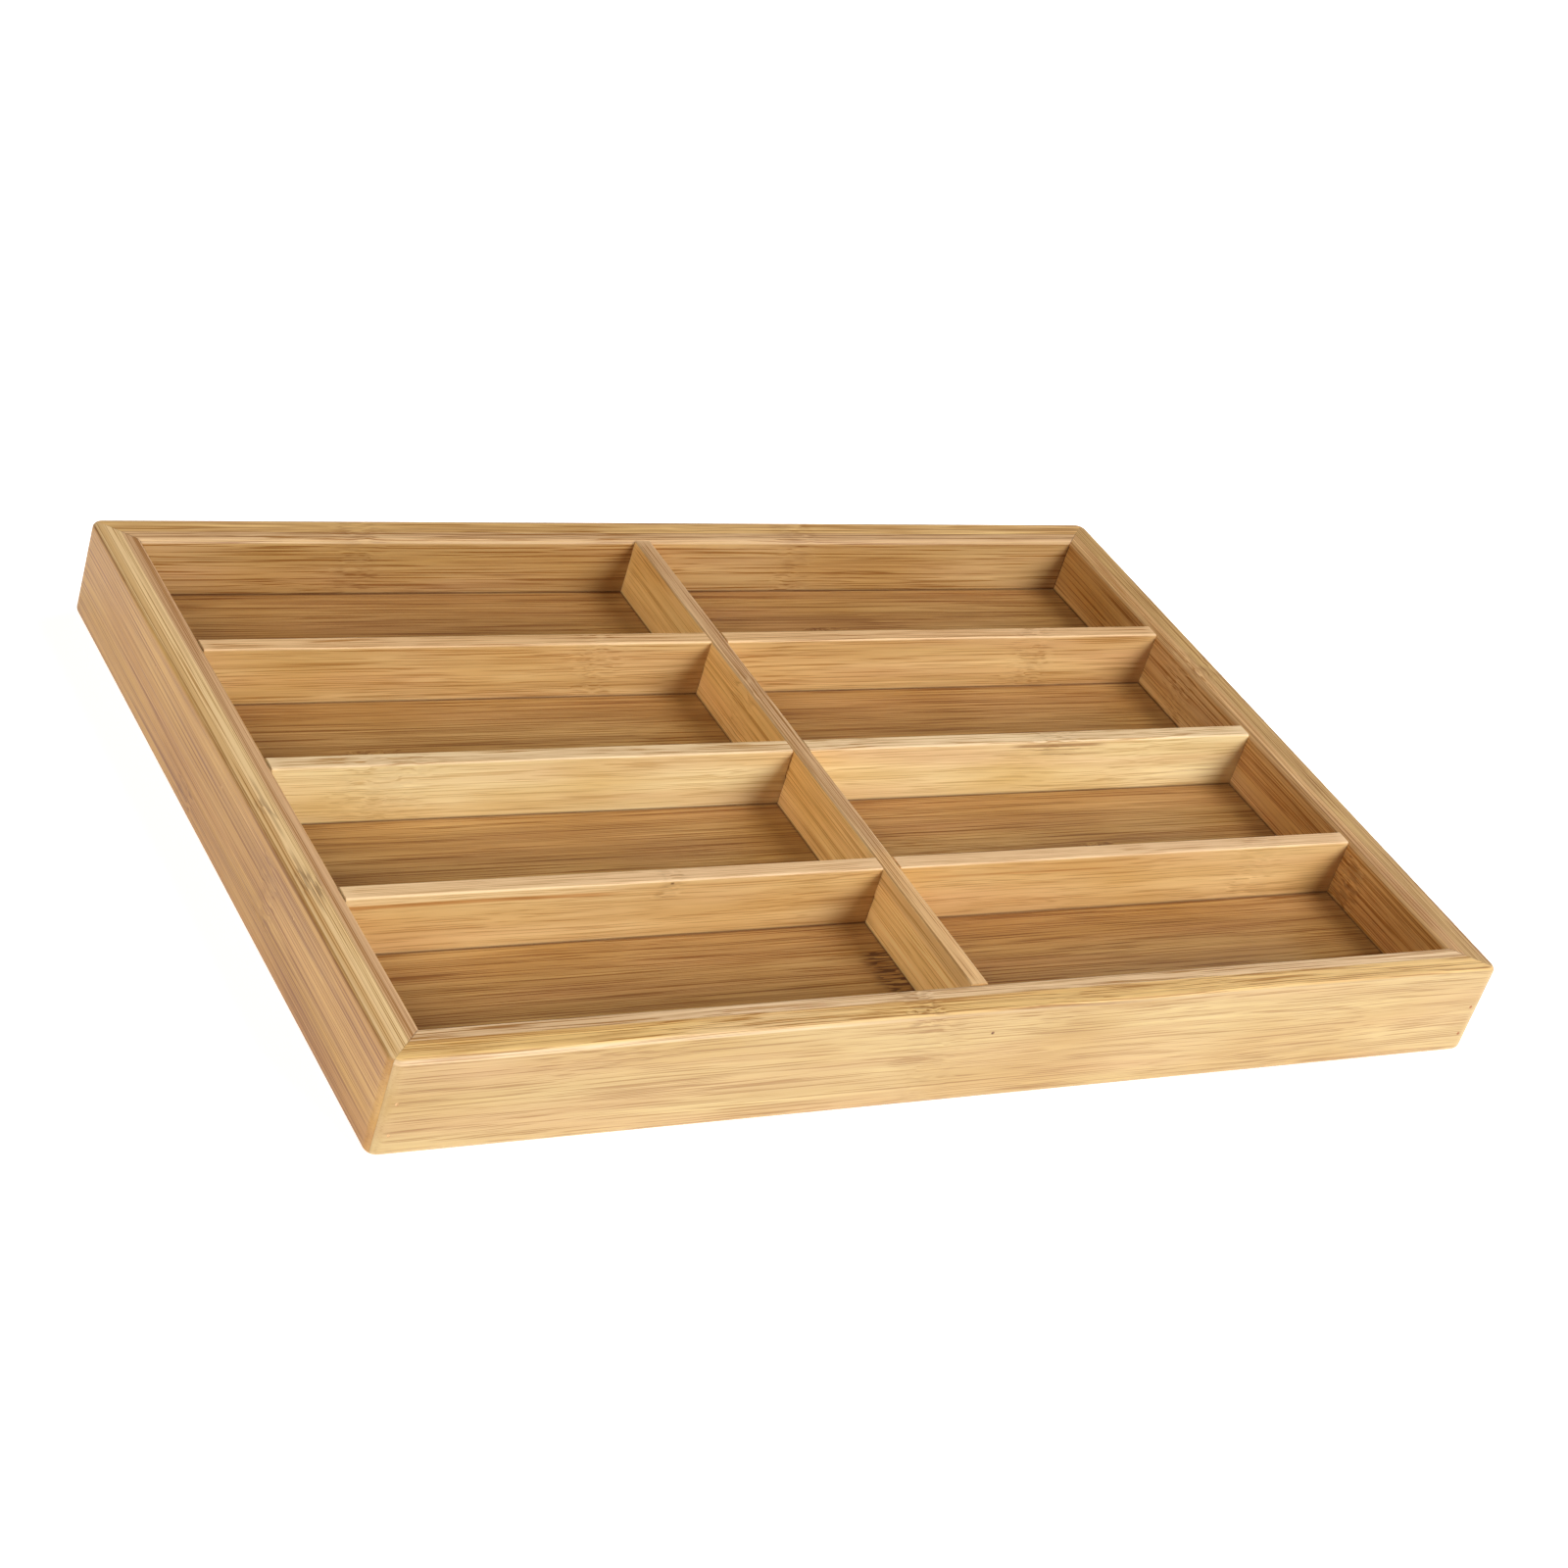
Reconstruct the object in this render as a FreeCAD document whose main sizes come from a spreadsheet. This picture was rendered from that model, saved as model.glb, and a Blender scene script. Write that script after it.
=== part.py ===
"""Bamboo glasses organizer: an open tray of eight compartments, as separate pieces.

Millimetres. The origin is at the centre of the tray's underside, +X runs along the tray's
length, +Y towards its back and +Z up. Four mitred rails hold a base panel in their grooves.
One centre divider and three cross dividers, half-lapped together, make two columns of four
compartments. Headless pin nails close the corners and hold the dividers' ends.
"""

import FreeCAD, Part
import os
import Sketcher

V = FreeCAD.Vector

# alias, value in mm, what it is
DIMENSIONS = (
    ("tray_length", 355.0, "outer length along X"),
    ("tray_depth", 249.0, "outer depth along Y"),
    ("tray_height", 31.0, "height of rails and dividers above the underside"),
    ("rail_thickness", 12.0, "thickness of the four rails"),
    ("corner_radius", 3.5, "rounding of the upright outer corners"),
    ("outer_top_radius", 1.5, "rounding of the outer top edge"),
    ("outer_bottom_radius", 2.2, "rounding of the outer bottom edge"),
    ("inner_top_radius", 1.5, "rounding of the inner top edge"),
    ("inner_bottom_radius", 0.8, "rounding of the inner bottom edge"),
    ("panel_thickness", 5.0, "thickness of the base panel"),
    ("panel_underside", 7.0, "height of the base panel's lower face"),
    ("groove_depth", 4.0, "depth of the grooves that hold the base panel"),
    ("groove_room", 0.5, "room for the panel to swell, at the bottom of each groove"),
    ("groove_slack", 0.1, "height of the groove beyond the panel's thickness"),
    ("divider_thickness", 5.5, "thickness of every divider"),
    ("divider_edge_radius", 0.6, "rounding of the dividers' top edges"),
    ("lap_slack", 0.4, "width of a half-lap notch beyond the divider's thickness"),
    ("lap_offset", 0.15, "how far a notch sits off the divider that crosses it"),
    ("lap_gap", 0.2, "height between the floors of two mating notches"),
    ("pin_diameter", 1.0, "diameter of the pin nails"),
    ("pin_length", 20.0, "length of the pin nails"),
    ("pin_point", 1.6, "length of a pin's point"),
    ("pin_sink", 0.05, "how far a pin's head is set below the surface"),
    ("pin_slack", 0.02, "radius of a pin's hole beyond the pin's radius"),
    ("corner_pin_inset", 4.5, "from a corner pin's axis to the side rail's outer face"),
    ("corner_pin_low", 7.2, "height of the lower corner pin"),
    ("corner_pin_high", 17.2, "height of the upper corner pin"),
    ("divider_pin_height", 23.5, "height of the pins in the dividers' ends"),
    ("cut_margin", 5.0, "how far a cutting shape reaches past what it cuts"),
)

HALF_LENGTH = "Dims.tray_length / 2"
HALF_DEPTH = "Dims.tray_depth / 2"
INNER_HALF_LENGTH = "(Dims.tray_length / 2 - Dims.rail_thickness)"
INNER_HALF_DEPTH = "(Dims.tray_depth / 2 - Dims.rail_thickness)"
FLOOR = "(Dims.panel_underside + Dims.panel_thickness)"
LAP_HEIGHT = f"(({FLOOR} + Dims.tray_height) / 2)"
HALF_NOTCH = "(Dims.divider_thickness + Dims.lap_slack) / 2"
# four equal compartments and three dividers fill the depth inside the rails
ROW_PITCH = "((Dims.tray_depth - 2 * Dims.rail_thickness + Dims.divider_thickness) / 4)"

# name, centre line along Y, side to which the notch leans (+1 is +X)
CROSS_DIVIDERS = (
    ("front", f"-{ROW_PITCH}", 1),
    ("middle", "0", -1),
    ("back", ROW_PITCH, 1),
)
# name, sign along X, sign along Y
CORNERS = (
    ("front_left", -1, -1),
    ("front_right", 1, -1),
    ("back_left", -1, 1),
    ("back_right", 1, 1),
)
TOLERANCE = 1e-4
LEAST_CUT = 1.0


def add_dimensions(doc):
    """The sheet of driving dimensions, each cell with its alias."""
    sheet = doc.addObject("Spreadsheet::Sheet", "Dims")
    for row, (alias, value, meaning) in enumerate(DIMENSIONS, start=1):
        sheet.set(f"A{row}", alias)
        sheet.set(f"B{row}", f"{value}")
        sheet.set(f"C{row}", meaning)
        sheet.setAlias(f"B{row}", alias)
    doc.recompute()


def dimension(doc, alias):
    """The value of one driving dimension."""
    return float(doc.Dims.get(alias))


def measure(sketch, expression):
    """The value in mm of an expression, for a sketch's first guess."""
    value = sketch.evalExpression(expression)
    return float(getattr(value, "Value", value))


def origin_plane(body, role):
    """One of a body's own origin planes."""
    return next(f for f in body.Origin.OriginFeatures if f.Role == role)


def outline_sketch(body, name, role, corners):
    """A sketch of one closed outline whose corners are bound to expressions."""
    sketch = body.newObject("Sketcher::SketchObject", name)
    sketch.AttachmentSupport = [(origin_plane(body, role), "")]
    sketch.MapMode = "FlatFace"
    places = [V(measure(sketch, across), measure(sketch, up), 0) for across, up in corners]
    for start, end in zip(places, places[1:] + places[:1]):
        sketch.addGeometry(Part.LineSegment(start, end), False)
    for line, (across, up) in enumerate(corners):
        following = (line + 1) % len(corners)
        sketch.addConstraint(Sketcher.Constraint("Coincident", line, 2, following, 1))
        for kind, expression in (("DistanceX", across), ("DistanceY", up)):
            pin_down(sketch, kind, line, expression)
    return sketch


def pin_down(sketch, kind, line, expression):
    """Bind one coordinate of a line's start point to an expression."""
    value = measure(sketch, expression)
    if abs(value) < TOLERANCE:
        on_axis = -2 if kind == "DistanceX" else -1
        sketch.addConstraint(Sketcher.Constraint("PointOnObject", line, 1, on_axis))
        return
    index = sketch.addConstraint(Sketcher.Constraint(kind, -1, 1, line, 1, value))
    sketch.setExpression(f"Constraints[{index}]", expression)


def rectangle(half_across, low, high):
    """An outline centred across, from low to high."""
    return [
        (f"-{half_across}", low),
        (half_across, low),
        (half_across, high),
        (f"-{half_across}", high),
    ]


def widened_well(reach):
    """The outline of the opening inside the rails, moved outwards by a reach."""
    half_depth = f"({INNER_HALF_DEPTH} + {reach})"
    return rectangle(f"({INNER_HALF_LENGTH} + {reach})", f"-{half_depth}", half_depth)


def pad(body, name, sketch, length, both_ways=False):
    """Extrude a sketch by an expression."""
    feature = body.newObject("PartDesign::Pad", name)
    feature.Profile = sketch
    feature.SideType = "Symmetric" if both_ways else "One side"
    feature.setExpression("Length", length)
    body.Document.recompute()
    return feature


def pocket(body, name, sketch, length):
    """Cut a sketch out of the body, upwards from its plane."""
    before = body.Shape.Volume
    feature = body.newObject("PartDesign::Pocket", name)
    feature.Profile = sketch
    feature.Reversed = True
    feature.setExpression("Length", length)
    body.Document.recompute()
    if feature.Shape.Volume > before - LEAST_CUT:
        raise RuntimeError(f"{name} cut nothing")
    return feature


def edges_where(shape, test):
    """The names of the edges whose box passes a test."""
    return [
        f"Edge{number}"
        for number, edge in enumerate(shape.Edges, start=1)
        if test(edge.BoundBox)
    ]


def fillet(body, name, radius, test):
    """Round the edges of the body's last feature whose box passes a test."""
    base = body.Tip
    names = edges_where(base.Shape, test)
    if not names:
        raise RuntimeError(f"{name} found no edge")
    feature = body.newObject("PartDesign::Fillet", name)
    feature.Base = (base, names)
    feature.setExpression("Radius", radius)
    body.Document.recompute()
    return feature


def near(value, target):
    return abs(value - target) < TOLERANCE


def level(box, height):
    """Whether a box lies flat at a height."""
    return near(box.ZMin, height) and near(box.ZMax, height)


def add_frame_ring(doc):
    """The closed ring of the four rails, before it is parted at the mitres."""
    body = doc.addObject("PartDesign::Body", "FrameRing")
    outside = rectangle(HALF_LENGTH, f"-{HALF_DEPTH}", HALF_DEPTH)
    inside = rectangle(INNER_HALF_LENGTH, f"-{INNER_HALF_DEPTH}", INNER_HALF_DEPTH)
    ring_plan = outline_sketch(body, "RingPlan", "XY_Plane", outside)
    pad(body, "RingBlock", ring_plan, "Dims.tray_height")
    well_plan = outline_sketch(body, "WellPlan", "XY_Plane", inside)
    pocket(body, "Well", well_plan, "Dims.tray_height")
    add_panel_groove(body)
    round_frame_ring(doc, body)
    return body


def add_panel_groove(body):
    """The groove round the inside of the ring, which takes the base panel."""
    plan = outline_sketch(body, "GroovePlan", "XY_Plane", widened_well("Dims.groove_depth"))
    plan.setExpression("AttachmentOffset.Base.z", "Dims.panel_underside")
    pocket(body, "PanelGroove", plan, "Dims.panel_thickness + Dims.groove_slack")


def round_frame_ring(doc, body):
    """Round the ring's upright corners, then its long edges."""
    half_length = dimension(doc, "tray_length") / 2
    half_depth = dimension(doc, "tray_depth") / 2
    height = dimension(doc, "tray_height")

    def outer(box):
        return max(abs(box.XMin), abs(box.XMax)) > half_length - TOLERANCE or (
            max(abs(box.YMin), abs(box.YMax)) > half_depth - TOLERANCE
        )

    def outer_upright(box):
        return near(box.ZLength, height) and outer(box)

    fillet(body, "RoundCorners", "Dims.corner_radius", outer_upright)
    fillet(
        body,
        "RoundOuterTop",
        "Dims.outer_top_radius",
        lambda box: level(box, height) and outer(box),
    )
    fillet(
        body,
        "RoundOuterBottom",
        "Dims.outer_bottom_radius",
        lambda box: level(box, 0) and outer(box),
    )
    inner_length = half_length - dimension(doc, "rail_thickness")
    inner_depth = half_depth - dimension(doc, "rail_thickness")

    def inner(box):
        return max(abs(box.XMin), abs(box.XMax)) < inner_length + TOLERANCE and (
            max(abs(box.YMin), abs(box.YMax)) < inner_depth + TOLERANCE
        )

    fillet(
        body,
        "RoundInnerTop",
        "Dims.inner_top_radius",
        lambda box: level(box, height) and inner(box),
    )
    fillet(
        body,
        "RoundInnerBottom",
        "Dims.inner_bottom_radius",
        lambda box: level(box, 0) and inner(box),
    )


def add_mitre_wedge(doc, name, corners):
    """A prism over the plan of one rail, whose slanting sides are the mitres."""
    body = doc.addObject("PartDesign::Body", name)
    plan = outline_sketch(body, f"{name}Plan", "XY_Plane", corners)
    pad(body, f"{name}Block", plan, "Dims.tray_height")
    return body


def add_rails(doc):
    """Part the ring at the mitres into four rails."""
    ring = add_frame_ring(doc)
    out = "Dims.cut_margin"
    inward = "(Dims.rail_thickness + Dims.cut_margin)"
    far_x = f"({HALF_LENGTH} + {out})"
    far_y = f"({HALF_DEPTH} + {out})"
    near_x = f"({HALF_LENGTH} - {inward})"
    near_y = f"({HALF_DEPTH} - {inward})"
    plans = {
        "front_rail": [("-", far_x, "-", far_y), ("", far_x, "-", far_y),
                       ("", near_x, "-", near_y), ("-", near_x, "-", near_y)],
        "back_rail": [("-", far_x, "", far_y), ("-", near_x, "", near_y),
                      ("", near_x, "", near_y), ("", far_x, "", far_y)],
        "left_rail": [("-", far_x, "-", far_y), ("-", near_x, "-", near_y),
                      ("-", near_x, "", near_y), ("-", far_x, "", far_y)],
        "right_rail": [("", far_x, "-", far_y), ("", far_x, "", far_y),
                       ("", near_x, "", near_y), ("", near_x, "-", near_y)],
    }
    rails = {}
    for label, plan in plans.items():
        corners = [(sign_x + x, sign_y + y) for sign_x, x, sign_y, y in plan]
        wedge = add_mitre_wedge(doc, f"Wedge_{label}", corners)
        rail = doc.addObject("Part::Common", f"Blank_{label}")
        rail.Base = ring
        rail.Tool = wedge
        rails[label] = rail
    return rails


def add_base_panel(doc):
    """The panel, whose edges lie in the rails' grooves."""
    body = doc.addObject("PartDesign::Body", "BasePanel")
    outline = widened_well("(Dims.groove_depth - Dims.groove_room)")
    plan = outline_sketch(body, "PanelPlan", "XY_Plane", outline)
    plan.setExpression("AttachmentOffset.Base.z", "Dims.panel_underside")
    pad(body, "PanelBoard", plan, "Dims.panel_thickness")
    body.Label = "base_panel"
    return body


def add_centre_divider(doc):
    """The divider from front to back, notched from below at each crossing."""
    body = doc.addObject("PartDesign::Body", "CentreDivider")
    notch_top = f"{LAP_HEIGHT} + Dims.lap_gap / 2"
    corners = [(f"-{INNER_HALF_DEPTH}", "Dims.tray_height"), (f"-{INNER_HALF_DEPTH}", FLOOR)]
    for _, line, _ in CROSS_DIVIDERS:
        before = f"{line} - {HALF_NOTCH}"
        after = f"{line} + {HALF_NOTCH}"
        corners += [(before, FLOOR), (before, notch_top), (after, notch_top), (after, FLOOR)]
    corners += [(INNER_HALF_DEPTH, FLOOR), (INNER_HALF_DEPTH, "Dims.tray_height")]
    side = outline_sketch(body, "CentreSide", "YZ_Plane", corners)
    pad(body, "CentreBoard", side, "Dims.divider_thickness", both_ways=True)
    height = dimension(doc, "tray_height")
    long_edge = dimension(doc, "tray_depth") / 2
    fillet(
        body,
        "CentreTopEdges",
        "Dims.divider_edge_radius",
        lambda box: level(box, height) and box.YLength > long_edge,
    )
    return body


def add_cross_divider(doc, name, line, lean):
    """A divider from left to right, notched from above for the centre divider."""
    body = doc.addObject("PartDesign::Body", f"CrossDivider_{name}")
    notch_floor = f"{LAP_HEIGHT} - Dims.lap_gap / 2"
    leaning = f"{lean} * Dims.lap_offset"
    before = f"{leaning} - {HALF_NOTCH}"
    after = f"{leaning} + {HALF_NOTCH}"
    corners = [
        (f"-{INNER_HALF_LENGTH}", FLOOR),
        (INNER_HALF_LENGTH, FLOOR),
        (INNER_HALF_LENGTH, "Dims.tray_height"),
        (after, "Dims.tray_height"),
        (after, notch_floor),
        (before, notch_floor),
        (before, "Dims.tray_height"),
        (f"-{INNER_HALF_LENGTH}", "Dims.tray_height"),
    ]
    side = outline_sketch(body, f"CrossSide_{name}", "XZ_Plane", corners)
    pad(body, f"CrossBoard_{name}", side, "Dims.divider_thickness", both_ways=True)
    height = dimension(doc, "tray_height")
    long_edge = dimension(doc, "tray_length") / 4
    fillet(
        body,
        f"CrossTopEdges_{name}",
        "Dims.divider_edge_radius",
        lambda box: level(box, height) and box.XLength > long_edge,
    )
    body.setExpression("Placement.Base.y", line)
    return body


def add_pin_pattern(doc):
    """One headless pin nail, driven along +X from the surface at its origin."""
    body = doc.addObject("PartDesign::Body", "PinPattern")
    radius = "Dims.pin_diameter / 2"
    outline = [
        ("Dims.pin_sink", "0"),
        ("Dims.pin_sink", radius),
        ("Dims.pin_sink + Dims.pin_length - Dims.pin_point", radius),
        ("Dims.pin_sink + Dims.pin_length", "0"),
    ]
    half = outline_sketch(body, "PinHalf", "XZ_Plane", outline)
    turned = body.newObject("PartDesign::Revolution", "PinShank")
    turned.Profile = half
    turned.ReferenceAxis = (half, ["H_Axis"])
    turned.Angle = 360
    doc.recompute()
    return body


def add_hole_pattern(doc):
    """The hole that a pin leaves, open at the surface."""
    hole = doc.addObject("Part::Cylinder", "HolePattern")
    hole.setExpression("Radius", "Dims.pin_diameter / 2 + Dims.pin_slack")
    hole.setExpression("Height", "Dims.cut_margin + Dims.pin_sink + Dims.pin_length")
    hole.Placement.Rotation = FreeCAD.Rotation(V(0, 1, 0), 90)
    hole.setExpression("Placement.Base.x", "-Dims.cut_margin")
    return hole


def pin_stations():
    """For each joint: its node's name, and each pin's place and direction."""
    inward_turn = {-1: 90, 1: -90}
    stations = []
    for corner, side_x, side_y in CORNERS:
        x = f"{side_x} * ({HALF_LENGTH} - Dims.corner_pin_inset)"
        y = f"{side_y} * {HALF_DEPTH}"
        heights = ("Dims.corner_pin_low", "Dims.corner_pin_high")
        places = [(x, y, z, inward_turn[side_y]) for z in heights]
        stations.append((f"{corner}_corner_pins", places))
    for side, sign in (("front", -1), ("back", 1)):
        place = ("0", f"{sign} * {HALF_DEPTH}", "Dims.divider_pin_height", inward_turn[sign])
        stations.append((f"centre_divider_{side}_pin", [place]))
    for name, line, _ in CROSS_DIVIDERS:
        for side, sign, turn in (("left", -1, 0), ("right", 1, 180)):
            place = (f"{sign} * {HALF_LENGTH}", line, "Dims.divider_pin_height", turn)
            stations.append((f"{name}_cross_divider_{side}_pin", [place]))
    return stations


def place_copy(doc, pattern, name, place):
    """A linked copy of a pattern where it lies, turned about Z and moved by expressions."""
    *position, turn = place
    copy = doc.addObject("App::Link", name)
    copy.LinkedObject = pattern
    copy.LinkTransform = True
    copy.Placement = FreeCAD.Placement(V(), FreeCAD.Rotation(V(0, 0, 1), turn))
    for axis, expression in zip("xyz", position):
        copy.setExpression(f"Placement.Base.{axis}", expression)
    return copy


def add_pins(doc):
    """The pins of each joint as one node, and all their holes as one tool."""
    pin = add_pin_pattern(doc)
    hole = add_hole_pattern(doc)
    holes = []
    nodes = []
    for label, places in pin_stations():
        copies = []
        for number, place in enumerate(places, start=1):
            copies.append(place_copy(doc, pin, f"Pin_{label}_{number}", place))
            holes.append(place_copy(doc, hole, f"Hole_{label}_{number}", place))
        group = doc.addObject("Part::Compound", f"Group_{label}")
        group.Links = copies
        group.Label = label
        nodes.append(group)
    tool = doc.addObject("Part::Compound", "AllHoles")
    tool.Links = holes
    return nodes, tool


def drill(doc, blank, label, holes):
    """A wooden piece with the pins' holes in it."""
    piece = doc.addObject("Part::Cut", f"Drilled_{label}")
    piece.Base = blank
    piece.Tool = holes
    piece.Label = label
    return piece


def check(doc, nodes):
    """Stop if any object failed or any sub-part is not a sound solid."""
    for item in doc.Objects:
        if {"Invalid", "Error"} & set(item.State):
            raise RuntimeError(f"{item.Name} failed: {item.State}")
    for node in nodes:
        shape = node.Shape
        if shape.isNull() or not shape.isValid() or not shape.Solids:
            raise RuntimeError(f"{node.Label} has no sound solid")


def build():
    """Make the document and write one STEP file for each sub-part."""
    doc = FreeCAD.newDocument("GlassesOrganizer")
    add_dimensions(doc)
    blanks = add_rails(doc)
    blanks["centre_divider"] = add_centre_divider(doc)
    for name, line, lean in CROSS_DIVIDERS:
        blanks[f"{name}_cross_divider"] = add_cross_divider(doc, name, line, lean)
    pins, holes = add_pins(doc)
    nodes = [drill(doc, blank, label, holes) for label, blank in blanks.items()]
    nodes += [add_base_panel(doc), *pins]
    doc.recompute()
    check(doc, nodes)
    os.makedirs("parts", exist_ok=True)
    for node in nodes:
        node.Shape.exportStep(f"parts/{node.Label}.step")
        box = node.Shape.BoundBox
        print(f"{node.Label}: {len(node.Shape.Solids)} solid(s), {node.Shape.Volume:.1f} mm3, "
              f"{box.XLength:.2f} x {box.YLength:.2f} x {box.ZLength:.2f}")


build()
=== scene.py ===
"""Looks for the bamboo glasses organizer: procedural bamboo, dull pins, studio light and camera.

The scene is in metres, in the row frame. The bamboo is worked out in millimetres, with one
coordinate along the grain (along) and two across it (aside and up). Every piece keeps its CAD
shape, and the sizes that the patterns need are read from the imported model.
"""

import math
from typing import Callable, NamedTuple

import bpy
from mathutils import Matrix, Vector


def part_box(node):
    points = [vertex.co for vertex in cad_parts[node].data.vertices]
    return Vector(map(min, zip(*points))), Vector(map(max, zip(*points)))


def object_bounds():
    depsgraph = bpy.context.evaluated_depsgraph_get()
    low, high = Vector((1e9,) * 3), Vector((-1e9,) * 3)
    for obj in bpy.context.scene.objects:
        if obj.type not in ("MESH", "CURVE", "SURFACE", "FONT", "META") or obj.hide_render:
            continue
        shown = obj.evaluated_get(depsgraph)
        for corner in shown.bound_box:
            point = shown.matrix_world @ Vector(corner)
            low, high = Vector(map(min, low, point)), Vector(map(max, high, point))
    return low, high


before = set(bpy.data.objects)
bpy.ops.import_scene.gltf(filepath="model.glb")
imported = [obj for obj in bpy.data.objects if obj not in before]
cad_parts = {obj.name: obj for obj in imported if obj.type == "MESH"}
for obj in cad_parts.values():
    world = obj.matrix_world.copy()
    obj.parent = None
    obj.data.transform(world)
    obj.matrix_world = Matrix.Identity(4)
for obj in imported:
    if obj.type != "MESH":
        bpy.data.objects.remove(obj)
cad_low, cad_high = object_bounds()

MM = 0.001

# ---------------------------------------------------------------- sizes in mm, from the model


def box_mm(node):
    """Lowest and highest corner of a CAD node, in millimetres."""
    low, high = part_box(node)
    return low / MM, high / MM


TRAY_TOP = cad_high.z / MM
TRAY_HALF = Vector((cad_high.x / MM, cad_high.y / MM))
PANEL_BOTTOM, FLOOR_TOP = (corner.z for corner in box_mm("base_panel"))
WELL_HALF = Vector((box_mm("front_cross_divider")[1].x, box_mm("centre_divider")[1].y))
DIVIDER_HALF = box_mm("centre_divider")[1].x
ROW_PITCH = sum(corner.y for corner in box_mm("back_cross_divider")) / 2

# ---------------------------------------------------------------- shader nodes in short calls


def srgb(red, green, blue):
    """Linear colour from display values of 0 to 255."""
    linear = []
    for value in (red, green, blue):
        share = value / 255
        linear.append(share / 12.92 if share <= 0.04045 else ((share + 0.055) / 1.055) ** 2.4)
    return (*linear, 1.0)


class Graph:
    """Adds nodes to one material and joins them.

    Values may be output sockets or constants. Most methods return an output socket.
    """

    def __init__(self, name):
        self.material = bpy.data.materials.new(name)
        self.material.use_nodes = True
        self.tree = self.material.node_tree
        self.tree.nodes.clear()

    def add(self, kind, **settings):
        """A new node, with these properties."""
        node = self.tree.nodes.new(kind)
        for name, value in settings.items():
            setattr(node, name, value)
        return node

    def feed(self, socket, value):
        """Link a value to an input if it is a socket, or set it there."""
        if isinstance(value, bpy.types.NodeSocket):
            self.tree.links.new(value, socket)
        else:
            socket.default_value = value

    def feed_all(self, node, values):
        """Feed a node's first inputs in their order."""
        for socket, value in zip(node.inputs, values):
            self.feed(socket, value)

    def math(self, operation, *values):
        node = self.add("ShaderNodeMath", operation=operation)
        self.feed_all(node, values)
        return node.outputs[0]

    def plus(self, a, b):
        return self.math("ADD", a, b)

    def minus(self, a, b):
        return self.math("SUBTRACT", a, b)

    def times(self, a, b):
        return self.math("MULTIPLY", a, b)

    def size(self, a):
        return self.math("ABSOLUTE", a)

    def least(self, first, *rest):
        for value in rest:
            first = self.math("MINIMUM", first, value)
        return first

    def most(self, first, *rest):
        for value in rest:
            first = self.math("MAXIMUM", first, value)
        return first

    def step(self, value, low, high, bottom=0.0, top=1.0):
        """A smooth step from bottom at low to top at high."""
        node = self.add("ShaderNodeMapRange", interpolation_type="SMOOTHSTEP")
        self.feed_all(node, (value, low, high, bottom, top))
        return node.outputs[0]

    def spread(self, value, low, high, bottom, top):
        """A straight remap from low..high to bottom..top, held at its ends."""
        node = self.add("ShaderNodeMapRange")
        self.feed_all(node, (value, low, high, bottom, top))
        return node.outputs[0]

    def near(self, distance, full, gone, share=1.0):
        """The share up to the distance full, fading to nothing at the distance gone."""
        return self.step(distance, full, gone, share, 0.0)

    def vector(self, x, y, z):
        node = self.add("ShaderNodeCombineXYZ")
        self.feed_all(node, (x, y, z))
        return node.outputs[0]

    def parts(self, vector):
        """The three coordinates of a vector."""
        node = self.add("ShaderNodeSeparateXYZ")
        self.feed(node.inputs[0], vector)
        return node.outputs[:3]

    def scaled(self, vector, factors):
        node = self.add("ShaderNodeVectorMath", operation="MULTIPLY")
        self.feed_all(node, (vector, factors))
        return node.outputs[0]

    def object_place(self):
        """The place in metres, from the object's origin: the frame's own for CAD objects."""
        return self.add("ShaderNodeTexCoord").outputs["Object"]

    def noise(self, vector, sizes, seed, detail=2.0, roughness=0.5):
        """Noise whose blobs are sizes long, in the vector's own unit."""
        node = self.add("ShaderNodeTexNoise", noise_dimensions="4D")
        self.feed(node.inputs["Vector"], self.scaled(vector, [1 / s for s in sizes]))
        self.feed(node.inputs["W"], seed)
        self.feed(node.inputs["Scale"], 1.0)
        self.feed(node.inputs["Detail"], detail)
        self.feed(node.inputs["Roughness"], roughness)
        return node.outputs[0]

    def mix(self, share, a, b, blend="MIX"):
        """Colour a with this share of colour b."""
        node = self.add("ShaderNodeMix", data_type="RGBA", blend_type=blend, clamp_factor=True)
        for index, value in ((0, share), (6, a), (7, b)):
            self.feed(node.inputs[index], value)
        return node.outputs[2]

    def bump(self, height, strength, distance):
        node = self.add("ShaderNodeBump")
        node.inputs["Strength"].default_value = strength
        node.inputs["Distance"].default_value = distance
        self.feed(node.inputs["Height"], height)
        return node.outputs[0]

    def finish(self, **inputs):
        """The finished material: a Principled shader with these inputs."""
        shader = self.add("ShaderNodeBsdfPrincipled")
        output = self.add("ShaderNodeOutputMaterial")
        for name, value in inputs.items():
            self.feed(shader.inputs[name.replace("_", " ")], value)
        self.tree.links.new(shader.outputs[0], output.inputs["Surface"])
        return self.material


# ---------------------------------------------------------------- colours and patterns of bamboo

PALE = srgb(232, 200, 146)
BASE = srgb(212, 175, 119)
ROSE = srgb(214, 168, 120)
GOLD = srgb(204, 161, 92)
DASH = srgb(92, 52, 24)
# dark glue lines at joints, and painted shade in the corners where walls meet the floor
GLUE_AND_SHADE = srgb(88, 50, 22)
CREAM = srgb(246, 216, 164)
AMBER = srgb(188, 124, 58)
UMBER = srgb(146, 94, 42)
SEPIA = srgb(140, 96, 44)

# linear factors at full strength: what a dark strand does to the colour, and what a pale one does
STAIN = (0.56, 0.4, 0.19, 1.0)
LIFT = (1.3, 1.4, 1.46, 1.0)


class Pattern(NamedTuple):
    """Noise for one kind of mark: the size of its blobs along and across the grain, in mm.

    shift is added to the seed of the piece, so that patterns of about one size don't line up.
    """

    along: float
    across: float
    detail: float
    roughness: float = 0.5
    shift: float = 0.0


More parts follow.
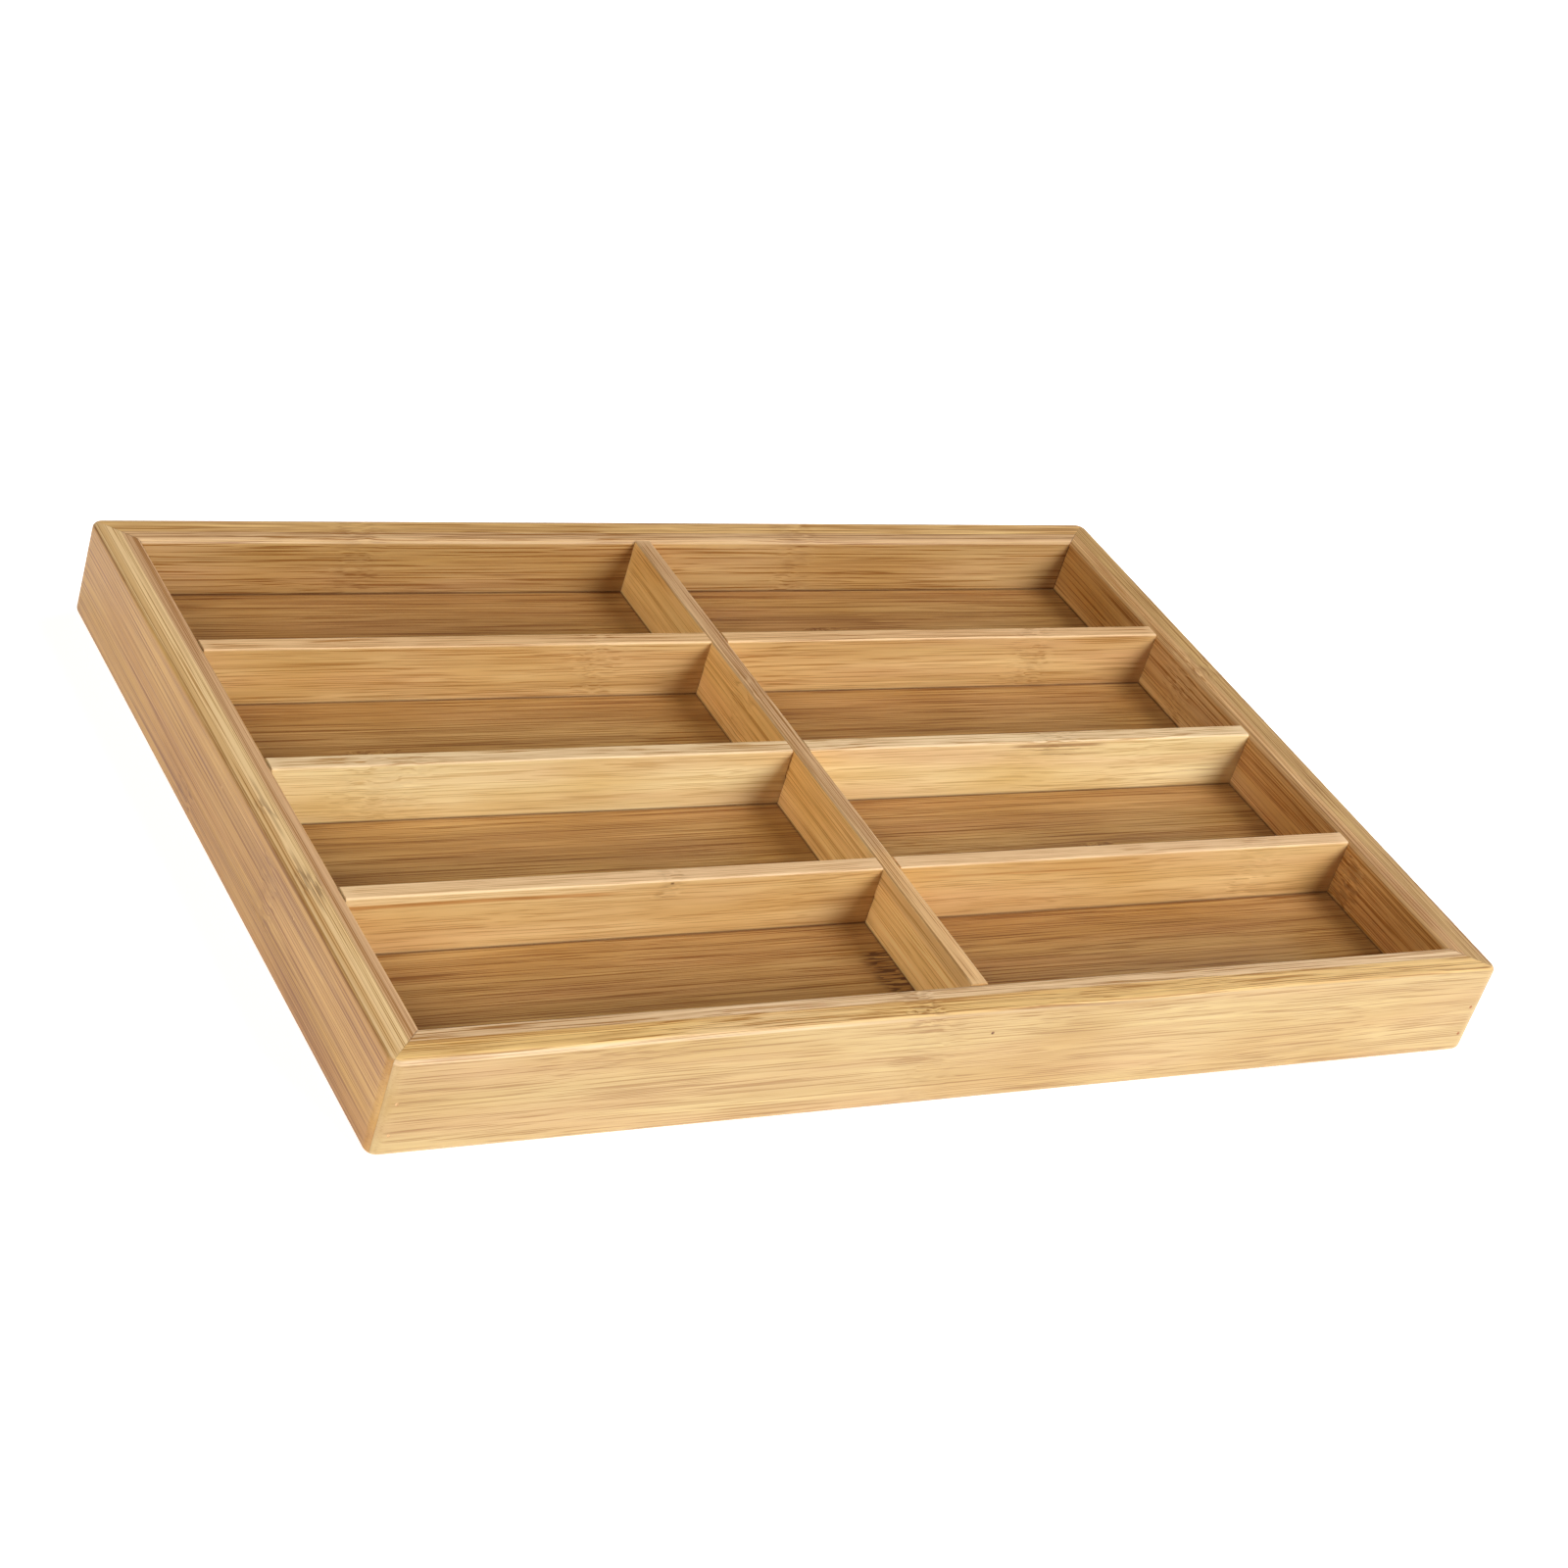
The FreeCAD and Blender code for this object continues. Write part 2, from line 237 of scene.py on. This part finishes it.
# from wide to fine; these four differ from ply to ply
STRIP = Pattern(190, 5.2, detail=2.0, roughness=0.55)
VEIN = Pattern(90, 2.4, detail=1.0)
STRAND = Pattern(54, 0.85, detail=2.0, roughness=0.75)
THREAD = Pattern(46, 0.36, detail=1.0, roughness=0.6)

# areas of another tone, blotches and dashes, rubbed edges
BLUSH = Pattern(95, 9, detail=1.0, shift=17.0)
CLOUD = Pattern(58, 20, detail=1.5, shift=11.0)
MOTTLE = Pattern(6, 1.6, detail=2.0, shift=29.0)
BUNDLE = Pattern(6.5, 0.62, detail=0.0, shift=23.0)
RUBBED = Pattern(9, 3, detail=2.0, shift=31.0)

# how strands stray sideways, slowly and at a knuckle, and how ragged a knuckle's ends are
DRIFT = Pattern(90, 16, detail=1.0, shift=0.7)
BEND = Pattern(6, 5, detail=0.0, shift=1.9)
RAGGED = Pattern(1, 2.4, detail=3.0, shift=3.1)

# the mm that those patterns stand for: for strands at a stretch of 1, for strands at a knuckle
# with a swirl of 1, for bands (which follow DRIFT too), and for a knuckle's ends
DRIFT_SWAY = 2.6
BEND_SWAY = 8.0
BAND_SWAY = 1.5
RAGGED_SWAY = 11.0

# how strongly each width of strand shows where the piece's depth is 1, then the same for the
# mottle, and what a knuckle with a swirl of 1 adds to it
WIDE_STRENGTH = 0.3
STRAND_STRENGTH = 1.35
THREAD_STRENGTH = 0.85
MOTTLE_STRENGTH = 0.2
KNUCKLE_MOTTLE = 6.0

# the largest share of the top face's colour, which is partly painted light from above, of worn
# wood, of dark glue lines with painted shade in the corners, and of the stain that a knuckle with a
# swirl of 1 has all over
CROWN_SHARE = 0.8
WEAR_SHARE = 0.32
GLUE_AND_SHADE_SHARE = 0.7
KNUCKLE_STAIN = 0.12

# how far below the tray's top the look of the top face starts, in mm
CROWN_DROP = 0.5

# how thick the outer of a rail's two plies is, in mm, and what the inner one adds to the seed
OUTER_PLY = 7.2
INNER_SEED = 7.3

# the bump of the grain: the height in metres that a step of 1 in it stands for, and its strength
GRAIN_HEIGHT = 0.14 * MM
GRAIN_BUMP = 0.4


class Knuckle(NamedTuple):
    """A joint of the cane, where strands bend (swirl) and short dark dashes show.

    It is at a place along the grain and reaches this far both ways. aside and up may each hold
    it between two places across the grain.
    """

    at: float
    reach: float
    swirl: float
    dashes: float
    aside: tuple = None
    up: tuple = None


class Band(NamedTuple):
    """A strand or strip of another colour.

    It is centred on a place aside or up, reaches half its width both ways, and runs from start
    to stop along the grain, past which it fades.
    """

    on: str
    centre: float
    half: float
    start: float
    stop: float
    fade: float
    colour: tuple
    share: float


class Crown(NamedTuple):
    """The top face: how much stronger its strands are, and its colour on either ply. That colour is
    partly the cut face's own and partly painted light, standing in for light from above.
    """

    depth: float
    colour: tuple
    inner_colour: tuple = None


class Wood(NamedTuple):
    """The look of one piece of bamboo.

    tint multiplies its colours, depth is how strong its strands are, stretch how long and
    straight they are, and strips how much its wide strips differ. seams and plies are functions
    of the graph and of x, y and z that return masks: the dark glue lines, with painted shade in
    the corners, and the inner ply.
    """

    grain: str
    seed: float
    tint: tuple
    depth: float
    stretch: float
    crown: Crown
    knuckles: list
    seams: Callable
    plies: Callable = None
    strips: float = 1.0
    bands: tuple = ()


# ---------------------------------------------------------------- the bamboo material


def lay(graph, pattern, place, seed, stretch=1.0):
    """A pattern's noise at a place, in coordinates that start with the one along the grain."""
    sizes = (pattern.along * stretch, pattern.across, pattern.across)
    return graph.noise(place, sizes, seed, pattern.detail, pattern.roughness)


def knuckle_fields(graph, wood, along, aside, up):
    """How much strands bend, and how many dashes there are: two outputs, 0 away from knuckles."""
    core, edge = 0.35, 0.8
    across = graph.vector(0.0, aside, up)
    ragged = graph.minus(lay(graph, RAGGED, across, wood.seed + RAGGED.shift), 0.5)
    shifted = graph.plus(along, graph.times(ragged, RAGGED_SWAY))
    swirl, dashes = 0.0, 0.0
    for knuckle in wood.knuckles:
        distance = graph.size(graph.minus(shifted, knuckle.at))
        here = graph.near(distance, knuckle.reach * core, knuckle.reach)
        for coordinate, limits in ((aside, knuckle.aside), (up, knuckle.up)):
            if limits:
                first, last = limits
                here = graph.times(here, graph.step(coordinate, first - edge, first))
                here = graph.times(here, graph.near(coordinate, last, last + edge))
        swirl = graph.most(swirl, graph.times(here, knuckle.swirl))
        dashes = graph.most(dashes, graph.times(here, knuckle.dashes))
    return swirl, dashes


def strand_depth(graph, node, wood, along, top):
    """How strong strands are: the piece's own depth, changed on top and weak near its ends."""
    reach = getattr(box_mm(node)[1], wood.grain)
    depth = graph.plus(graph.times(top, wood.crown.depth), wood.depth)
    from_end = graph.minus(reach, graph.size(along))
    return graph.times(depth, graph.step(from_end, 0.5, 4.5, 0.25, 1.0))


def ground_colour(graph, wood, place, strip):
    """The colour under the strands: strips from pale to tan, and rosy and golden areas."""
    lightest, darkest = 0.5 - 0.5 * wood.strips, 0.5 + 0.5 * wood.strips
    colour = graph.mix(graph.spread(strip, 0.36, 0.64, lightest, darkest), PALE, BASE)
    for pattern, tone, high, share in ((BLUSH, ROSE, 0.72, 0.7), (CLOUD, GOLD, 0.74, 0.8)):
        area = lay(graph, pattern, place, wood.seed + pattern.shift)
        colour = graph.mix(graph.spread(area, 0.42, high, 0.0, share), colour, tone)
    return graph.mix(1.0, colour, (*wood.tint, 1.0), "MULTIPLY")


def with_bands(graph, colour, bands, along, aside, up, drift):
    """The colour with a piece's bands laid over it. They stray a little with the strands."""
    core = 0.55
    for band in bands:
        across = graph.plus(up if band.on == "up" else aside, graph.times(drift, BAND_SWAY))
        distance = graph.size(graph.minus(across, band.centre))
        share = graph.near(distance, band.half * core, band.half, band.share)
        share = graph.times(share, graph.step(along, band.start - band.fade, band.start))
        share = graph.times(share, graph.near(along, band.stop, band.stop + band.fade))
        colour = graph.mix(share, colour, band.colour)
    return colour


def grained(graph, colour, pattern, depth):
    """Stain the colour where the pattern is above its middle, and lift it where it is below."""
    away = graph.times(graph.minus(pattern, 0.5), depth)
    colour = graph.mix(graph.most(away, 0.0), colour, STAIN, "MULTIPLY")
    return graph.mix(graph.most(graph.times(away, -1.0), 0.0), colour, LIFT, "MULTIPLY")


def edge_wear(graph, node, x, y, z):
    """1 on the long edges and corners of a box-shaped piece, 0 away from them."""
    low, high = box_mm(node)
    middle, half = (low + high) / 2, (high - low) / 2
    depths = []
    for coordinate, centre, reach in zip((x, y, z), middle, half):
        inside = graph.size(graph.minus(coordinate, centre))
        depths.append(graph.minus(reach, inside))
    a, b, c = depths
    second = graph.most(graph.least(a, b), graph.least(graph.most(a, b), c))
    return graph.near(second, full=0.1, gone=1.5)


def bamboo(name, node, wood):
    """A bamboo material for one piece."""
    graph = Graph(name)
    x, y, z = graph.parts(graph.scaled(graph.object_place(), (1 / MM, 1 / MM, 1 / MM)))
    along, aside = (x, y) if wood.grain == "x" else (y, x)
    raw = graph.vector(along, aside, z)
    top = graph.step(z, TRAY_TOP - CROWN_DROP, TRAY_TOP - CROWN_DROP * 0.25)
    depth = strand_depth(graph, node, wood, along, top)
    ply_seed, crown = wood.seed, wood.crown.colour
    if wood.plies:
        inner = wood.plies(graph, x, y, z)
        ply_seed = graph.plus(graph.times(inner, INNER_SEED), wood.seed)
        crown = graph.mix(inner, crown, wood.crown.inner_colour)

    # where strands run
    swirl, dashes = knuckle_fields(graph, wood, along, aside, z)
    drift = graph.minus(lay(graph, DRIFT, raw, wood.seed + DRIFT.shift, wood.stretch), 0.5)
    bend = graph.minus(lay(graph, BEND, raw, wood.seed + BEND.shift), 0.5)
    sway = graph.plus(
        graph.times(drift, DRIFT_SWAY / wood.stretch),
        graph.times(graph.times(bend, swirl), BEND_SWAY),
    )
    place = graph.vector(along, graph.plus(aside, sway), graph.plus(z, sway))
    strip = lay(graph, STRIP, place, ply_seed)
    vein = lay(graph, VEIN, place, ply_seed, wood.stretch)
    strand = lay(graph, STRAND, place, ply_seed, wood.stretch)
    thread = lay(graph, THREAD, place, ply_seed, wood.stretch)
    bundle = lay(graph, BUNDLE, raw, wood.seed + BUNDLE.shift)
    mottle = lay(graph, MOTTLE, raw, wood.seed + MOTTLE.shift)
    rubbed = lay(graph, RUBBED, raw, wood.seed + RUBBED.shift)

    # the colour under the strands, then the strands from wide to fine
    colour = ground_colour(graph, wood, place, strip)
    # the top face's colour: partly its own cut face, partly painted light from above
    colour = graph.mix(graph.times(top, CROWN_SHARE), colour, crown)
    colour = with_bands(graph, colour, wood.bands, along, aside, z, drift)
    wide = WIDE_STRENGTH * wood.strips
    blotches = graph.plus(graph.times(swirl, KNUCKLE_MOTTLE), MOTTLE_STRENGTH)
    scales = ((strip, wide), (vein, wide), (strand, STRAND_STRENGTH), (mottle, blotches))
    for pattern, strength in scales:
        colour = grained(graph, colour, pattern, graph.times(depth, strength))
    lines = graph.times(graph.step(thread, 0.52, 0.62), graph.times(depth, THREAD_STRENGTH))
    colour = graph.mix(lines, colour, STAIN, "MULTIPLY")
    marks = graph.times(graph.step(bundle, 0.49, 0.53), dashes)
    colour = graph.mix(marks, colour, DASH)
    colour = graph.mix(graph.times(swirl, KNUCKLE_STAIN), colour, STAIN, "MULTIPLY")

    # worn edges, and dark glue lines with painted shade in the corners
    wear = graph.times(edge_wear(graph, node, x, y, z), graph.spread(rubbed, 0.3, 0.65, 0.15, 0.6))
    colour = graph.mix(graph.times(wear, WEAR_SHARE), colour, PALE)
    seam = wood.seams(graph, x, y, z)
    colour = graph.mix(graph.times(seam, GLUE_AND_SHADE_SHARE), colour, GLUE_AND_SHADE)

    height = graph.plus(graph.times(strand, 0.8), graph.times(thread, 0.5))
    height = graph.minus(graph.minus(height, graph.times(marks, 0.5)), seam)
    roughness = graph.spread(strand, 0.3, 0.7, 0.38, 0.52)
    roughness = graph.plus(roughness, graph.times(graph.most(wear, top), 0.12))
    return graph.finish(
        Base_Color=colour,
        Roughness=roughness,
        Coat_Weight=0.12,
        Coat_Roughness=0.38,
        Normal=graph.bump(height, GRAIN_BUMP, GRAIN_HEIGHT),
    )


# ---------------------------------------------------------------- masks of the plies and glue lines


def ply_edge(axis):
    """How far from the tray's middle the two plies of a rail meet."""
    return getattr(TRAY_HALF, axis) - OUTER_PLY


def inner_ply(axis):
    """The inner of a rail's two plies."""

    def mask(graph, x, y, z):
        out = graph.size(y if axis == "y" else x)
        return graph.near(out, full=ply_edge(axis) - 0.12, gone=ply_edge(axis) + 0.12)

    return mask


def rail_seams(axis):
    """The mitres, the glue line between the plies, and the joint with the base panel, which also
    paints shade in the corner above the panel.
    """

    def mask(graph, x, y, z):
        mitre = graph.size(
            graph.minus(graph.minus(graph.size(x), graph.size(y)), TRAY_HALF.x - TRAY_HALF.y)
        )
        out = graph.size(y if axis == "y" else x)
        edge, well = ply_edge(axis), getattr(WELL_HALF, axis)
        open_part = graph.step(out, edge - 2.0, edge + 2.5, 0.85, 0.25)
        mitre_line = graph.times(graph.near(mitre, full=0.05, gone=0.26), open_part)
        ply_line = graph.near(graph.size(graph.minus(out, edge)), full=0.04, gone=0.2, share=0.16)
        to_panel = graph.least(
            graph.size(graph.minus(z, FLOOR_TOP)), graph.size(graph.minus(z, PANEL_BOTTOM))
        )
        beside = graph.near(to_panel, full=0.1, gone=0.8, share=0.9)
        panel_line = graph.times(beside, graph.near(out, full=well + 0.2, gone=well + 0.6))
        return graph.most(mitre_line, ply_line, panel_line)

    return mask


def divider_seams(axis):
    """Dark glue lines at a divider's foot and ends, with painted shade in the corners there."""

    def mask(graph, x, y, z):
        to_end = graph.minus(getattr(WELL_HALF, axis), graph.size(x if axis == "x" else y))
        foot = graph.near(graph.minus(z, FLOOR_TOP), full=0.05, gone=0.65, share=0.9)
        ends = graph.near(to_end, full=0.05, gone=0.4, share=0.4)
        ends = graph.times(ends, graph.step(z, TRAY_TOP - 5.0, TRAY_TOP - 2.0, 1.0, 0.2))
        return graph.most(foot, ends)

    return mask


def panel_seams(graph, x, y, z):
    """Dark joints with the rails on both faces of the panel, and with the dividers on its top. On
    the top they also paint shade in the corners at the feet of the walls.
    """
    across = graph.size(x)
    back = graph.size(y)
    to_rails = graph.least(graph.minus(WELL_HALF.x, across), graph.minus(WELL_HALF.y, back))
    to_dividers = graph.least(
        graph.minus(across, DIVIDER_HALF),
        graph.minus(back, DIVIDER_HALF),
        graph.minus(graph.size(graph.minus(back, ROW_PITCH)), DIVIDER_HALF),
    )
    rails = graph.near(to_rails, full=0.05, gone=0.75, share=0.9)
    dividers = graph.near(to_dividers, full=0.05, gone=0.75, share=0.9)
    return graph.most(rails, graph.times(dividers, graph.step(z, FLOOR_TOP - 1.0, FLOOR_TOP)))


# ---------------------------------------------------------------- which piece gets what

WOOD = {
    "front_rail": Wood(
        grain="x",
        seed=3.0,
        tint=(0.653, 0.651, 0.564),
        depth=0.85,
        stretch=0.95,
        strips=0.5,
        crown=Crown(1.0, srgb(229, 187, 117), srgb(221, 185, 143)),
        knuckles=[
            Knuckle(-17, 13, 0.08, 0.05, up=(0, 29)),
            Knuckle(-22, 7, 0.22, 0.25, aside=(-125, -112), up=(28, 32)),
        ],
        plies=inner_ply("y"),
        seams=rail_seams("y"),
        bands=(
            # a painted highlight along the outer top rounding, also a pale rubbed edge
            Band("up", 30.2, 0.7, -190, -100, 90, srgb(240, 210, 176), 0.35),
            Band("aside", -118.3, 1.0, -170, 20, 60, srgb(190, 134, 62), 0.35),
        ),
    ),
    "back_rail": Wood(
        grain="x",
        seed=12.0,
        tint=(0.78, 0.72, 0.62),
        depth=1.2,
        stretch=1.1,
        crown=Crown(0.9, srgb(218, 176, 114), srgb(208, 168, 124)),
        knuckles=[Knuckle(58, 10, 0.1, 0.1), Knuckle(-96, 10, 0.1, 0.1)],
        plies=inner_ply("y"),
        seams=rail_seams("y"),
    ),
    "left_rail": Wood(
        grain="y",
        seed=21.0,
        tint=(0.667, 0.502, 0.192),
        depth=1.3,
        stretch=2.2,
        crown=Crown(-0.2, srgb(234, 202, 151), srgb(210, 170, 129)),
        knuckles=[
            Knuckle(-40, 8, 0.15, 0.1, up=(9, 27)),
            Knuckle(22, 9, 0.2, 0.1, up=(0, 9)),
            Knuckle(-53, 7, 0.03, 0.4, aside=(-175.5, -170), up=(29, 32)),
            Knuckle(-20, 5, 0.03, 0.3, aside=(-175.5, -172), up=(29, 32)),
        ],
        plies=inner_ply("x"),
        seams=rail_seams("x"),
        bands=(
            Band("up", 4.0, 4.6, -125, 125, 1, srgb(168, 112, 60), 0.25),
            Band("up", 19.0, 9.0, -125, -44, 6, srgb(198, 152, 88), 0.35),
            Band("aside", -171.6, 1.9, -118, 30, 40, srgb(230, 198, 144), 0.5),
            Band("aside", -175.4, 1.2, -118, 118, 30, srgb(184, 136, 70), 0.5),
            Band("aside", -173.6, 0.7, -60, -44, 8, SEPIA, 0.5),
            Band("aside", -172.2, 0.5, -58, -50, 6, SEPIA, 0.4),
            Band("aside", -173.2, 0.6, -28, -12, 8, SEPIA, 0.4),
        ),
    ),
    "right_rail": Wood(
        grain="y",
        seed=30.0,
        tint=(0.839, 0.659, 0.454),
        depth=1.75,
        stretch=1.3,
        crown=Crown(0.4, srgb(187, 152, 95), srgb(197, 156, 104)),
        knuckles=[
            Knuckle(-67, 7, 0.15, 0.35, aside=(160, 170.5), up=(12, 28)),
            Knuckle(36, 11, 0.12, 0.06),
        ],
        plies=inner_ply("x"),
        seams=rail_seams("x"),
        bands=(
            Band("aside", 166.0, 0.5, -118, 118, 10, srgb(228, 186, 132), 0.5),
            Band("aside", 166.9, 0.5, -118, 118, 10, srgb(150, 98, 50), 0.45),
            Band("aside", 167.8, 0.5, -118, 118, 10, srgb(222, 182, 130), 0.35),
        ),
    ),
    "centre_divider": Wood(
        grain="y",
        seed=41.0,
        tint=(1.4, 1.3, 1.03),
        depth=0.85,
        stretch=1.3,
        crown=Crown(0.55, srgb(186, 150, 116)),
        knuckles=[Knuckle(31, 9, 0.1, 0.05)],
        seams=divider_seams("y"),
        bands=(
            Band("up", 13.8, 2.2, -125, 125, 1, srgb(226, 178, 108), 0.4),
            Band("up", 29.0, 3.6, -125, -56, 8, srgb(222, 176, 116), 0.6),
        ),
    ),
    "front_cross_divider": Wood(
        grain="x",
        seed=52.0,
        tint=(1.04, 0.997, 0.908),
        depth=0.65,
        stretch=0.85,
        crown=Crown(0.15, srgb(222, 184, 141)),
        knuckles=[Knuckle(-70, 5, 0.15, 0.15, up=(25, 32)), Knuckle(132, 12, 0.08, 0.08)],
        seams=divider_seams("x"),
        bands=(
            Band("up", 29.6, 1.5, -170, -100, 30, CREAM, 0.75),
            Band("up", 27.7, 0.75, -170, -96, 18, AMBER, 0.65),
            Band("up", 26.6, 0.5, 20, 70, 18, AMBER, 0.45),
            Band("up", 30.1, 0.42, -70.35, -69.75, 0.35, DASH, 0.75),
        ),
    ),
    "middle_cross_divider": Wood(
        grain="x",
        seed=63.0,
        tint=(1.21, 1.38, 1.52),
        depth=0.58,
        stretch=0.8,
        crown=Crown(0.6, srgb(221, 188, 146)),
        knuckles=[Knuckle(-133, 20, 0.12, 0.06), Knuckle(92, 13, 0.12, 0.12, up=(26, 32))],
        seams=divider_seams("x"),
        bands=(
            Band("up", 29.7, 0.7, 80, 104, 8, UMBER, 0.65),
            Band("up", 28.2, 0.3, 86, 98, 6, UMBER, 0.5),
            Band("up", 26.6, 0.3, 90, 106, 8, UMBER, 0.35),
        ),
    ),
    "back_cross_divider": Wood(
        grain="x",
        seed=74.0,
        tint=(0.97, 0.93, 0.83),
        depth=0.9,
        stretch=1.0,
        crown=Crown(0.4, srgb(220, 178, 130)),
        knuckles=[Knuckle(-40, 10, 0.12, 0.1), Knuckle(118, 11, 0.12, 0.1)],
        seams=divider_seams("x"),
    ),
    # the panel lies below the top, so its crown doesn't show
    "base_panel": Wood(
        grain="x",
        seed=85.0,
        tint=(0.603, 0.484, 0.326),
        depth=1.85,
        stretch=1.3,
        crown=Crown(0.0, BASE),
        knuckles=[
            Knuckle(-5, 9, 0.1, 1.0, aside=(-108, -74)),
            Knuckle(96, 9, 0.5, 0.2, aside=(-56, -30)),
            Knuckle(-120, 10, 0.5, 0.15, aside=(2, 30)),
            Knuckle(62, 10, 0.5, 0.15, aside=(60, 90)),
        ],
        seams=panel_seams,
    ),
}

# the size of the blots on a pin's end, their seed, and the depth of its dents
PIN_BLOT = 0.5 * MM
PIN_SEED = 4.0
PIN_DENTS = 0.05 * MM


def pin_look(name, dark, light, metallic):
    """A pin's end: dull stained steel, or sanded over with filler."""
    graph = Graph(name)
    blots = (PIN_BLOT, PIN_BLOT, PIN_BLOT)
    stain = graph.noise(graph.object_place(), blots, PIN_SEED, detail=3.0)
    return graph.finish(
        Base_Color=graph.mix(graph.step(stain, 0.35, 0.65), light, dark),
        Metallic=metallic,
        Roughness=graph.spread(stain, 0.3, 0.7, 0.45, 0.7),
        Normal=graph.bump(stain, 0.3, PIN_DENTS),
    )


def dress_pieces():
    """Give every CAD node its material. All pins but two nodes are filled and sanded over."""
    steel = pin_look("pin_steel", srgb(92, 56, 34), srgb(140, 96, 66), 0.15)
    stained = pin_look("pin_stained", srgb(134, 74, 38), srgb(164, 102, 58), 0.0)
    filled = pin_look("pin_filled", srgb(176, 132, 82), srgb(206, 164, 112), 0.0)
    seen_pins = {"centre_divider_front_pin": steel, "front_right_corner_pins": stained}
    for name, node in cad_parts.items():
        if name in WOOD:
            material = bamboo(f"bamboo_{name}", name, WOOD[name])
        else:
            material = seen_pins.get(name, filled)
        for slot in node.material_slots:
            slot.material = material


# ---------------------------------------------------------------- floor, light and camera

FLOOR_RADIUS = 30.0

# a hair below the tray, so that their faces don't fight for one plane
FLOOR_GAP = 0.3 * MM

# how brightly the floor shines by itself beside the tray and past it, and what is added far away
GLOW_NEAR = 0.66
GLOW_PAST = 0.85
GLOW_FAR = 0.2

# name, azimuth, elevation and power
LIGHTS = (
    ("key_softbox", 26, 24, 58.0),
    ("left_softbox", -80, 36, 30.0),
    ("right_top_softbox", 70, 58, 28.0),
    ("right_softbox", 110, 20, 16.0),
)
SOFTBOX_DISTANCE = 2.6
SOFTBOX_WIDTH = 1.3

# the world's strength at the horizon and overhead, and the height at which it is down to that
HORIZON_STRENGTH = 1.0
OVERHEAD_STRENGTH = 0.03
HORIZON_HEIGHT = 0.2

CAMERA_AZIMUTH = -36.49
CAMERA_ELEVATION = 30.91
CAMERA_ROLL = 18.47
CAMERA_DISTANCE = 1.001
CAMERA_LENS = 77.69
CAMERA_AIM = Vector((0.001, 0.002, 0.0155))


def add_floor():
    """A wide pale floor under the tray that shines by itself, and more so away from the tray."""
    bpy.ops.mesh.primitive_circle_add(vertices=96, radius=FLOOR_RADIUS, fill_type="NGON")
    floor = bpy.context.object
    floor.name = "studio_floor"
    floor.location.z = -FLOOR_GAP
    graph = Graph("studio_floor")
    source = graph.object_place()
    mottle = graph.noise(source, (0.3, 0.3, 0.3), 2.0, detail=2.0)
    x, y, _ = graph.parts(source)
    radius = graph.math("SQRT", graph.plus(graph.times(x, x), graph.times(y, y)))
    glow = graph.plus(
        graph.spread(radius, 0.3, 0.8, GLOW_NEAR, GLOW_PAST),
        graph.spread(radius, 1.5, 4.0, 0.0, GLOW_FAR),
    )
    material = graph.finish(
        Base_Color=graph.mix(mottle, srgb(247, 247, 247), srgb(250, 250, 250)),
        Roughness=0.9,
        Emission_Color=(1.0, 1.0, 1.0, 1.0),
        Emission_Strength=glow,
    )
    floor.data.materials.append(material)


def direction(azimuth, elevation):
    """From the tray towards a point; azimuth 0 is the front and 90 the right side."""
    a, e = math.radians(azimuth), math.radians(elevation)
    return Vector((math.sin(a) * math.cos(e), -math.cos(a) * math.cos(e), math.sin(e)))


def add_lights():
    """Softboxes aimed at the tray."""
    for name, azimuth, elevation, power in LIGHTS:
        data = bpy.data.lights.new(name, "AREA")
        data.shape = "DISK"
        data.size = SOFTBOX_WIDTH
        data.energy = power
        lamp = bpy.data.objects.new(name, data)
        towards = direction(azimuth, elevation)
        lamp.location = towards * SOFTBOX_DISTANCE
        lamp.rotation_mode = "QUATERNION"
        lamp.rotation_quaternion = towards.to_track_quat("Z", "Y")
        bpy.context.scene.collection.objects.link(lamp)


def add_surrounding():
    """White at the horizon, so that low views have no edge behind the floor, and dim above."""
    world = bpy.data.worlds.new("studio")
    bpy.context.scene.world = world
    world.use_nodes = True
    nodes, links = world.node_tree.nodes, world.node_tree.links
    background = nodes["Background"]
    background.inputs["Color"].default_value = (1.0, 1.0, 1.0, 1.0)
    towards = nodes.new("ShaderNodeTexCoord")
    parts = nodes.new("ShaderNodeSeparateXYZ")
    fade = nodes.new("ShaderNodeMapRange")
    fade.interpolation_type = "SMOOTHSTEP"
    fade.inputs["From Max"].default_value = HORIZON_HEIGHT
    fade.inputs["To Min"].default_value = HORIZON_STRENGTH
    fade.inputs["To Max"].default_value = OVERHEAD_STRENGTH
    links.new(towards.outputs["Generated"], parts.inputs[0])
    links.new(parts.outputs["Z"], fade.inputs["Value"])
    links.new(fade.outputs[0], background.inputs["Strength"])


def add_camera():
    """The camera, turned about its own axis by the roll."""
    back = direction(CAMERA_AZIMUTH, CAMERA_ELEVATION)
    level_right = Vector((0, 0, 1)).cross(back).normalized()
    level_up = back.cross(level_right)
    roll = math.radians(CAMERA_ROLL)
    right = level_right * math.cos(roll) + level_up * math.sin(roll)
    rise = back.cross(right)
    data = bpy.data.cameras.new("photo_camera")
    data.lens = CAMERA_LENS
    camera = bpy.data.objects.new("photo_camera", data)
    place = CAMERA_AIM + back * CAMERA_DISTANCE
    turn = Matrix((right, rise, back)).transposed().to_4x4()
    camera.matrix_world = Matrix.Translation(place) @ turn
    bpy.context.scene.collection.objects.link(camera)
    bpy.context.scene.camera = camera


# ---------------------------------------------------------------- the scene

dress_pieces()
add_floor()
add_lights()
add_surrounding()
add_camera()
bpy.context.scene.view_settings.view_transform = "Standard"
